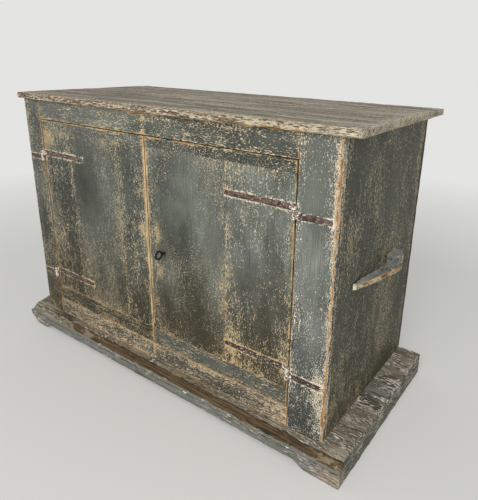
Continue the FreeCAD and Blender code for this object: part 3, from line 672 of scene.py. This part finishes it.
# What is different on some boards, by the ends of their names, the later lines over the earlier ones
boardLooks = (
    ("top_rail", dict(
        loss=0.0, groundPale="#f6ecd2", groundDeep="#d6bb8e", fleckLength=7 * mm,
        joint=(3 * mm, 0.15), paintDark="#484b42", paintLight="#757970")),
    ("bottom_rail", dict(
        loss=0.055, groundPale="#fff6e4", groundDeep="#e8cba2", paintDark="#4a4436",
        paintLight="#7a7363", fleckWidth=1.5 * mm, fleckLength=8 * mm, joint=(2.5 * mm, 0.18),
        lowTone=(0.50, 0.15, 0.25, "#37311f"),
        ownSpots=[((0.22, frontFace, 0.1), (0.3, 0.1, 0.08), -0.06)])),
    ("_bottom_clamp", dict(joint=(2.2 * mm, 0.16), fleckWidth=1.4 * mm, fleckLength=9 * mm)),
    ("right_door_bottom_clamp", dict(
        paintDark="#535850", paintLight="#787d72", loss=-0.012, groundDeep="#c89f69",
        lowTone=(0.50, 0.15, 0.3, "#332c1a"))),
    ("_inner_plank", dict(woodDark="#a07a4c", woodPale="#e8cfa2")),
    # The right door's planks are painted lighter than the left door's, as painted light falling from the right
    ("right_door_inner_plank", dict(
        paintDark="#4a4e45", paintLight="#81867c", lowTone=(0.6, 0.24, 0.9, "#322d1a"))),
    ("right_door_outer_plank", dict(
        paintDark="#4c5149", paintLight="#858a82", loss=0.014, lowTone=(0.6, 0.24, 0.9, "#322d1a"))),
    (("left_door_outer_plank", "left_door_middle_plank"), dict(loss=0.012)),
    ("stile_left", dict(paintDark="#43463d", paintLight="#787b70", loss=0.008)),
    # The right stile's paint is lighter still, painted light from the right as on the right door
    ("stile_right", dict(
        paintDark="#474b43", paintLight="#8b8f86", groundPale="#faf6ea", groundDeep="#e4d3b4",
        woodDark="#825733", woodPale="#c69a66", loss=-0.012, edgeGain=0.30, edgeWear=4.0 * mm,
        lowTone=(0.42, 0.12, 0.8, "#30332e"), lowGround="#efe4cd",
        ownSpots=[((0.5985, frontFace + 1.5 * mm, 0.2), (0.008, 0.0085, 0.75), 0.2),
                  ((0.595, frontFace, 0.78), (0.014, 0.012, 0.4), 0.13),
                  ((0.58, frontFace, 0.19), (0.034, 0.03, 0.12), 0.08)],
        repaint=[(alongZ, 0.80, 0.92, 0.16, "#62665d")])))
levelLook = dict(grain=alongX, fleckLength=5.5 * mm, toneSeed=4.0)
stileCorner = dict(radius=6 * mm, segments=3)
# Worn (+) and well kept (-) places on the front: middle in x and z, reach in x and z, gain
frontSpots = (
    (-0.48, 0.737, 0.042, 0.04, 0.17), (-0.031, 0.521, 0.022, 0.038, 0.16),
    (0.03, 0.515, 0.03, 0.055, 0.16), (0.033, 0.398, 0.03, 0.052, 0.16),
    (0.315, 0.245, 0.035, 0.06, 0.09), (0.285, 0.42, 0.035, 0.26, 0.03),
    (-0.455, 0.45, 0.06, 0.34, 0.03), (-0.1, 0.4, 0.11, 0.2, 0.01),
    (-0.25, 0.19, 0.36, 0.12, 0.015), (0.25, 0.2, 0.32, 0.14, 0.018),
    (-0.285, 0.6, 0.085, 0.24, -0.08), (0.13, 0.62, 0.085, 0.16, -0.08),
    (0.36, 0.49, 0.055, 0.15, -0.09), (0.545, 0.7, 0.045, 0.2, -0.1),
    (-0.565, 0.52, 0.022, 0.18, -0.08), (0.565, 0.26, 0.045, 0.22, 0.03),
    (0.572, 0.235, 0.03, 0.06, 0.06), (0.47, 0.25, 0.03, 0.045, 0.07),
    (-0.012, 0.66, 0.015, 0.45, 0.16), (-0.011, 0.28, 0.01, 0.5, 0.1))
spotDepth = 0.1
strapReach = 12 * mm
rubReach = ((alongX, 7 * mm), (alongZ, 7 * mm))
outOfReach = 0.2
uprightBoards = [name for name in nodes
                 if name.startswith("stile_") or ("_door_" in name and name.endswith("_plank"))]
levelBoards = ["top_rail", "bottom_rail"] + [name for name in nodes if name.endswith("_clamp")]
hingeNodes = [name for name in nodes if name.endswith(("_hinge_strap", "_hinge_leaf"))]
ironBoxes = [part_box(name) for name in hingeNodes]


def spotsOn(low, high):
    return [((x, frontFace, z), (reachX, spotDepth, reachZ), gain) for x, z, reachX, reachZ, gain in frontSpots
            if low.x - reachX < x < high.x + reachX and low.z - reachZ < z < high.z + reachZ]


def strapsOn(low, high):
    # Straps and leaves that cross this board, or lie just beside it
    return [(a, b) for a, b in ironBoxes
            if all(a[axis] < high[axis] + strapReach and b[axis] > low[axis] - strapReach
                   for axis in (alongX, alongZ))]


def outlineOf(node):
    # The edges that hands and doors rub: the whole door's for its boards, the free ones of the frame's.
    # Edges that nothing rubs are moved out of reach.
    group = node.split("_door_")[0] + "_door_" if "_door_" in node else node
    boards = [visibleBox(name) for name in uprightBoards + levelBoards if name.startswith(group)]
    low = Vector([min(box[0][axis] for box in boards) for axis in range(3)])
    high = Vector([max(box[1][axis] for box in boards) for axis in range(3)])
    low.z -= outOfReach
    if node.endswith("_rail"):
        low.x -= outOfReach
        high.x += outOfReach
    if node == "bottom_rail" or node.startswith("stile_"):
        high.z += outOfReach
    return low, high


def roundCorner(piece, low, high):
    # The stile's outer front corner, worn round
    outer = max(low.x, high.x, key=abs)
    roundEdge(piece, edgesAt(x=outer, y=low.y), stileCorner["radius"], stileCorner["segments"])


keyAxis = Vector(next(joint for joint in frame["joints"] if joint["name"] == "key_turn")["pos_m"])
keyhole = dict(radius=3.6 * mm, vertices=24, slotWidth=5.2 * mm, slotDepth=16.5 * mm, through=80 * mm)


def cutKeyhole(plank):
    # Round hole with a slot below, cut right through the plank
    selectOnly()
    bpy.ops.mesh.primitive_cylinder_add(vertices=keyhole["vertices"], radius=keyhole["radius"],
                                        depth=keyhole["through"], location=keyAxis,
                                        rotation=(math.radians(90), 0, 0))
    cutter = bpy.context.object
    bpy.ops.mesh.primitive_cube_add(size=1.0, location=keyAxis - Vector((0, 0, keyhole["slotDepth"] / 2)),
                                    scale=(keyhole["slotWidth"], keyhole["through"], keyhole["slotDepth"]))
    slot = bpy.context.object
    for tool in (cutter, slot):
        selectOnly(plank)
        applyModifier(plank, "BOOLEAN", operation="DIFFERENCE", object=tool)
    selectOnly(cutter, slot)
    bpy.ops.object.delete()


for index, node in enumerate(sorted(uprightBoards + levelBoards)):
    low, high = visibleBox(node)
    edgeLow, edgeHigh = outlineOf(node)
    look = dict(frontLook, outline=(edgeLow, edgeHigh))
    look["paintedTo"] = (alongY, frontFace + 6 * mm, frontFace + 3 * mm)
    if node in levelBoards:
        look.update(levelLook)
    for ending, changes in boardLooks:
        if node.endswith(ending):
            look.update(changes)
    look["spots"] = spotsOn(low, high) + look.get("ownSpots", [])
    shape = None
    if node.startswith("stile_"):
        # Painted round the outer corner, raw on the edge that faces the doors
        shape = roundCorner
        inner, outer = sorted((low.x, high.x), key=abs)
        inset = math.copysign(1 * mm, inner)
        look["paintedTo"] = (alongX, inner + inset, inner + 2 * inset)
        # The outer face takes the sides' darker colour, the same painted shade as theirs
        look["repaint"] = [(alongX, outer - 1 * mm, outer + 9 * mm, 1 * mm, "#3b3e35")] + look.get("repaint", [])
    material = flakedPaint("flakedPaint_" + node, low, high, look, seedOf("front", index), strapsOn(low, high))
    piece = wornBoard(node, frontWear, material, shape,
                      wanted=lambda a, b: onOutline(a, b, edgeLow, edgeHigh, rubReach))
    if node == "right_door_inner_plank":
        cutKeyhole(piece)
print("front boards worn and painted")

# The painted sides, in darker paint as painted shade on the side turned from the light, less flaked, with tan
# streaks
sideLook = dict(
    frontLook, paintDark="#292c25", paintLight="#42463d", streakColour="#5d5843", streakShare=0.45,
    streakSize=2.6 * mm, rimColour="#12120d", rimShare=0.85, groundPale="#d6cdac", groundDeep="#a4946c",
    woodDark="#6b5738", woodPale="#94794f", areaGain=0.06, loss=0.012, edgeWear=2.0 * mm, edgeGain=0.28,
    spreadGain=0.02, fleckWidth=1.9 * mm, fleckLength=8 * mm,
    lowTone=(0.5, 0.15, 0.4, "#3a3523"), lowGround="#a4946c")
sideWear = dict(frontWear, ease=1.2 * mm, chip=1.5 * mm)
rearReach = 3 * mm
for index, node in enumerate(sorted(name for name in nodes if name.startswith("side_"))):
    low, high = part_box(node)
    inner, outer = (high.x, low.x) if low.x < 0 else (low.x, high.x)
    inset = math.copysign(4 * mm, outer)
    beyond = 0.1
    whole = [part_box(name) for name in nodes if name.startswith("_".join(node.split("_")[:2]))]
    edgeLow = Vector((low.x, min(box[0].y for box in whole) - beyond, low.z - beyond))
    edgeHigh = Vector((high.x, max(box[1].y for box in whole), high.z + beyond))
    look = dict(sideLook, paintedTo=(alongX, inner + inset, inner + 2 * inset), outline=(edgeLow, edgeHigh))
    look["spots"] = [((outer, 0.03, 0.66), (0.1, 0.09, 0.17), -0.10)]
    material = flakedPaint("flakedPaint_" + node, low, high, look, seedOf("side", index))
    wornBoard(node, sideWear, material, wanted=lambda a, b: min(a.y, b.y) > edgeHigh.y - rearReach)
print("side boards worn and painted")

# The back: bare upright boards, darkened, with rough arrises
backWear = dict(sideWear, pitch=22 * mm, ease=2.0 * mm, chip=2.0 * mm)
backPine = dict(dark="#3f372b", pale="#5d503d")
for index, node in enumerate(sorted(name for name in nodes if name.startswith("back_board"))):
    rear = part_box(node)[1].y
    material = oldPine("oldPine_" + node, alongZ, seedOf("back", index), backPine)
    wornBoard(node, backWear, material, wanted=lambda a, b: max(a.y, b.y) > rear - rearReach)
print("back boarded up")

# The top: weathered grey boards, paint left only in the grain and along the edges
topLook = dict(
    frontLook, grain=alongX, paintDark="#645d4f", paintLight="#bdb29b", streakColour="#40362a", streakShare=1.0,
    streakSize=3.4 * mm, toneSize=0.03, toneLength=0.45, groundPale="#e9e1d0", groundDeep="#c9bda2", rimShare=0.7,
    rimColour="#2a251d", woodDark="#7a5530", woodPale="#b98f5e", bareFrom=0.215, areaGain=0.06, loss=-0.01,
    edgeWear=3.5 * mm, edgeGain=0.17, edgeSpread=40 * mm, spreadGain=0.05,
    fleckWidth=1.9 * mm, fleckLength=15 * mm, paintRoughness=0.72, lowTone=None,
    cracks=dict(spacing=0.03, width=0.007, colour="#3f372d"))
topWear = dict(pitch=9 * mm, crossPitch=40 * mm, ease=2.5 * mm, chip=3.0 * mm, chipSize=22 * mm,
               hollow=0.8 * mm)
topShape = dict(endRadius=6 * mm, cornerRadius=14 * mm, cornerSegments=4,
                rubReach=((alongY, 4 * mm), (alongX, 8 * mm)))
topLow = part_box("top_front_plank")[0]
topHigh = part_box("top_rear_plank")[1]
topPlankLook = dict(
    topLook, outline=(topLow, topHigh),
    bands=[(alongX, topHigh.x - 10 * mm, topHigh.x + 10 * mm, 30 * mm, 0.07),
           (alongY, topLow.y - 10 * mm, topLow.y + 4 * mm, 6 * mm, 0.075)],
    repaint=[(alongY, topLow.y - 10 * mm, topLow.y + 2 * mm, 2 * mm, "#62462f")],
    holes=[((topHigh.x, topLow.y + 60 * mm, topHigh.z - 9 * mm), 3.5 * mm)])


def roundTop(piece, low, high):
    # The right front corner is round in plan, and both ends are worn round above
    if near(low.y, topLow.y):
        roundEdge(piece, edgesAt(x=high.x, y=low.y), topShape["cornerRadius"], topShape["cornerSegments"])
    roundEnds(piece, low, high, topShape["endRadius"])


for index, node in enumerate(("top_front_plank", "top_rear_plank")):
    material = flakedPaint("weatheredTop_" + node, *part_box(node), topPlankLook, seedOf("top", index))
    wornBoard(node, topWear, material, roundTop,
              wanted=lambda a, b: onOutline(a, b, topLow, topHigh, topShape["rubReach"]))
print("top laid")

# The base: mauve-brown planks with white flakes and cracks, bare along the front bevel
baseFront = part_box("base_apron")[0].y
platformLow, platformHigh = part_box("platform_front_plank")
platformEnd = platformHigh.x
nosing = dict(run=20 * mm, endRadius=6 * mm)
bevelTop = baseFront + nosing["run"]
bevelFoot = platformHigh.z - nosing["run"]
cornerWear = dict(within=22 * mm, shift=(10 * mm, 7 * mm, -3 * mm), reach=75 * mm)
platformLook = dict(
    topLook, toneSize=0.06, toneLength=0.16,
    paintDark="#5a513e", paintLight="#aaa08a", streakColour="#30271a", groundPale="#f8f2e8",
    groundDeep="#dacdba", rimShare=0.8, rimColour="#1f1911", woodDark="#34281a", woodPale="#6b573d",
    areaSize=0.05, areaGain=0.10, loss=0.025, edgeWear=4 * mm, edgeGain=0.14, bareFrom=0.28,
    fleckWidth=3.2 * mm, fleckLength=17 * mm, cracks=dict(spacing=0.022, width=0.010, colour="#211a13"))
# The front plank is bare on its bevel and painted grey below it, the middle one is greyer
rearPlankLook = dict(
    platformLook, repaint=[(alongX, platformEnd - 2 * mm, platformEnd + 8 * mm, 2 * mm, "#4a4e44"),
                           (alongX, -platformEnd - 8 * mm, 2 * mm - platformEnd, 2 * mm, "#4a4e44")])
middlePlankLook = dict(rearPlankLook, paintDark="#57584d", paintLight="#8c8d82")
frontPlankLook = dict(
    platformLook, edgeWear=2 * mm, edgeGain=0.0, groundDeep="#8a7c63",
    bands=[(alongY, baseFront - 9 * mm, bevelTop - 1 * mm, 1 * mm, 0.5),
           (alongY, bevelTop, frontFace, 4 * mm, 0.09),
           (alongZ, platformLow.z - 20 * mm, bevelFoot, 1 * mm, -0.47)],
    repaint=rearPlankLook["repaint"] + [(alongZ, platformLow.z - 20 * mm, bevelFoot, 1 * mm, "#77786f")],
    seams=[(alongY, bevelTop - 0.5 * mm, bevelTop + 0.5 * mm, 1 * mm, "#1d150c")],
    spots=[((-0.675, baseFront, 0.06), (0.49, 0.09, 0.15), -0.66),
           ((0.675, baseFront, 0.06), (0.26, 0.06, 0.08), -0.30)])


def roundPlatform(piece, low, high):
    roundEnds(piece, low, high, nosing["endRadius"])


def bevelNosing(piece, low, high):
    # The bevel comes before the ends, or it would follow their rounding and stay flat
    roundEdge(piece, edgesAt(y=low.y, z=high.z), nosing["run"], segments=1)
    roundPlatform(piece, low, high)


def wearCorner(piece, low, high):
    # The left front corner, rubbed round and low
    corner = Vector((low.x, low.y))
    pullEdges(piece, lambda a, b: max((a.xy - corner).length, (b.xy - corner).length) < cornerWear["within"],
              cornerWear["shift"], cornerWear["reach"])


platform = (("platform_front_plank", frontPlankLook, bevelNosing, wearCorner),
            ("platform_middle_plank", middlePlankLook, roundPlatform, None),
            ("platform_rear_plank", rearPlankLook, roundPlatform, None))
for index, (node, look, shapeFirst, shapeLast) in enumerate(platform):
    material = flakedPaint("wornPlatform_" + node, *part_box(node), look, seedOf("platform", index))
    wornBoard(node, topWear, material, shapeFirst, shapeLast)
print("platform laid")

# Apron and runners: grey paint rubbed thin, bare and mauve on the feet
apronLook = dict(
    platformLook, toneSize=0.03, toneLength=0.4, paintDark="#6a6b61", paintLight="#8a8c83", streakColour="#5a584c",
    groundPale="#d8d7cf", groundDeep="#b9a592", woodDark="#432f23", woodPale="#e4cfb9",
    areaGain=0.05, loss=-0.05, edgeWear=6 * mm, edgeGain=0.13, spreadGain=0.02, bareFrom=0.17,
    fleckWidth=2.4 * mm, fleckLength=36 * mm,
    spots=[((0.64, baseFront, 0.02), (0.1, 0.1, 0.06), 0.22),
           ((-0.64, baseFront, 0.02), (0.08, 0.1, 0.06), 0.14)])
runnerLook = dict(apronLook, grain=alongY, paintDark="#4a4e45", paintLight="#5c6055", groundPale="#cdc6b3",
                  loss=0.0, fleckLength=20 * mm, spots=[])
scoop = dict(foot=95 * mm, shoulder=36 * mm, lift=16 * mm,
             footWear=(4 * mm, 2 * mm, 22 * mm), footReach=60 * mm)


def scoopApron(piece, low, high):
    # Lifts the lower edge between the feet, with a soft shoulder at each end
    reach = high.x - scoop["foot"] - scoop["shoulder"]
    lowest = edgesAt(z=low.z)
    pullEdges(piece, lambda a, b: lowest(a, b) and max(abs(a.x), abs(b.x)) < reach,
              (0, 0, scoop["lift"]), scoop["shoulder"])
    # The left foot's outer corner is worn away
    pullEdges(piece, edgesAt(x=low.x, z=low.z), scoop["footWear"], scoop["footReach"])


material = flakedPaint("wornApron", *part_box("base_apron"), apronLook, seedOf("apron"))
wornBoard("base_apron", topWear, material, shapeLast=scoopApron)
for index, node in enumerate(("base_runner_left", "base_runner_right")):
    material = flakedPaint("wornRunner_" + node, *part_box(node), runnerLook, seedOf("runner", index))
    wornBoard(node, topWear, material)
print("base laid")

worked = dict(weld=1e-6, smoothFactor=0.5, smoothAngle=50)


def workedCopy(node, work, material):
    # The CAD shape, remeshed finely and worked over so that no face stays dead flat
    piece = bpy.data.objects.new(node + "_worked", nodes[node].data.copy())
    scene.collection.objects.link(piece)
    selectOnly(piece)
    bpy.ops.object.mode_set(mode="EDIT")
    bpy.ops.mesh.select_all(action="SELECT")
    bpy.ops.mesh.remove_doubles(threshold=worked["weld"])
    bpy.ops.object.mode_set(mode="OBJECT")
    applyModifier(piece, "REMESH", mode="VOXEL", voxel_size=work["voxel"])
    applyModifier(piece, "SMOOTH", factor=worked["smoothFactor"], iterations=work["smoothing"])
    for size, depth in work["dents"]:
        pushIn(piece, size, depth)
    bpy.ops.object.shade_smooth_by_angle(angle=math.radians(worked["smoothAngle"]))
    seatPiece(piece, node, material)


# Carved handles: painted above, rubbed to bare wood on the outer side where hands take hold
handleLook = dict(
    frontLook, grain=alongY, paintDark="#6f736c", paintLight="#9ea29a", streakColour="#575a50",
    groundPale="#f4ead2", groundDeep="#cbb48e", rimShare=0.6,
    woodDark="#66503a", woodPale="#aa8a62", loss=0.02, areaSize=0.025, areaGain=0.08,
    cracks=dict(spacing=0.010, width=0.05, colour="#35261a"), lowTone=None,
    edgeWear=2 * mm, edgeGain=0.0, spreadGain=0.0, bareFrom=0.24, fleckWidth=3.2 * mm, fleckLength=9 * mm)
handleWork = dict(voxel=1.6 * mm, smoothing=3, dents=((13 * mm, 2.0 * mm), (5 * mm, 0.8 * mm)))
buttonWork = dict(voxel=1.2 * mm, smoothing=3, dents=((9 * mm, 0.7 * mm), (4 * mm, 0.3 * mm)))
for index, node in enumerate(("handle_left", "handle_right")):
    low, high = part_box(node)
    outward = 1.0 if low.x > 0 else -1.0
    look = dict(handleLook, facing=((outward, 0.0, -0.25), 0.15))
    # The tip keeps its paint and the bend is rubbed bare
    look["spots"] = [((outward * 0.607, low.y, (low.z + high.z) / 2), (0.05, 0.020, 0.05), -0.45),
                     ((outward * 0.648, high.y - 40 * mm, high.z - 12 * mm), (0.022, 0.050, 0.030), 0.22)]
    look["bands"] = [(alongZ, low.z - 10 * mm, high.z - 11 * mm, 3 * mm, 0.10)]
    look["repaint"] = [(alongY, low.y - 10 * mm, low.y + 7 * mm, 3 * mm, "#e9e0c4")]
    workedCopy(node, handleWork, flakedPaint("carvedHandle_" + node, low, high, look, seedOf("handle", index)))
workedCopy("turn_button", buttonWork, oldPine("carvedTurnButton", alongX, seedOf("button")))
print("handles and turn button carved")

# Hinges: forged straps and leaves with hammer marks, cream paint left at the knuckles.
# The lower pair is darker, with more of the cream paint left on it.
strapWork = dict(voxel=1.1 * mm, smoothing=2, dents=((11 * mm, 0.8 * mm), (3 * mm, 0.3 * mm)))
lowerStrap = dict(dark="#1e1513", rust="#5c463d", flakesFrom=0.615)
knuckle = dict(reach=(0.026, 0.03, 0.03), gain=0.20)
pins = [Vector(joint["pos_m"]) for joint in frame["joints"] if joint["name"].endswith("_door_swing")]
for index, node in enumerate(sorted(hingeNodes)):
    low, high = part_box(node)
    pin = min(pins, key=lambda place: abs(place.x - (low.x + high.x) / 2))
    spot = ((pin.x, low.y, (low.z + high.z) / 2), knuckle["reach"], knuckle["gain"])
    changes = lowerStrap if "lower" in node else {}
    workedCopy(node, strapWork, forgedIron("wroughtIron_" + node, seedOf("hinge", index), changes, [spot]))
print("ironwork forged")

# Small ironwork and bare inner wood keep the CAD shapes
keyIron = dict(dark="#121112", rust="#272220", flakesFrom=1.1)
lockIron = dict(dark="#26211f", rust="#4a3c34", flakesFrom=1.1)
basePine = dict(dark="#43372a", pale="#665440")
plainMade = forgedIron("wroughtIron_small", seedOf("smallIron"))
keyMade = forgedIron("wroughtIron_key", seedOf("smallIron", 1), keyIron)
lockMade = forgedIron("wroughtIron_lock", seedOf("smallIron", 2), lockIron)
frontToBack = ("base_middle_bearer", "shelf_cleats", "floor_cleats", "top_battens")
for index, (node, piece) in enumerate(sorted(nodes.items())):
    if piece.hide_render:
        continue
    if slotOf[node] == "forged_iron":
        material = keyMade if node == "key" else lockMade if node.startswith("lock_") else plainMade
    else:
        grain = alongY if node.startswith(frontToBack) else alongX
        changes = basePine if node.startswith("base_") else {}
        material = oldPine("oldPine_" + node, grain, seedOf("inner", index), changes)
    piece.data.materials.clear()
    piece.data.materials.append(material)
print("inner wood and small iron finished")
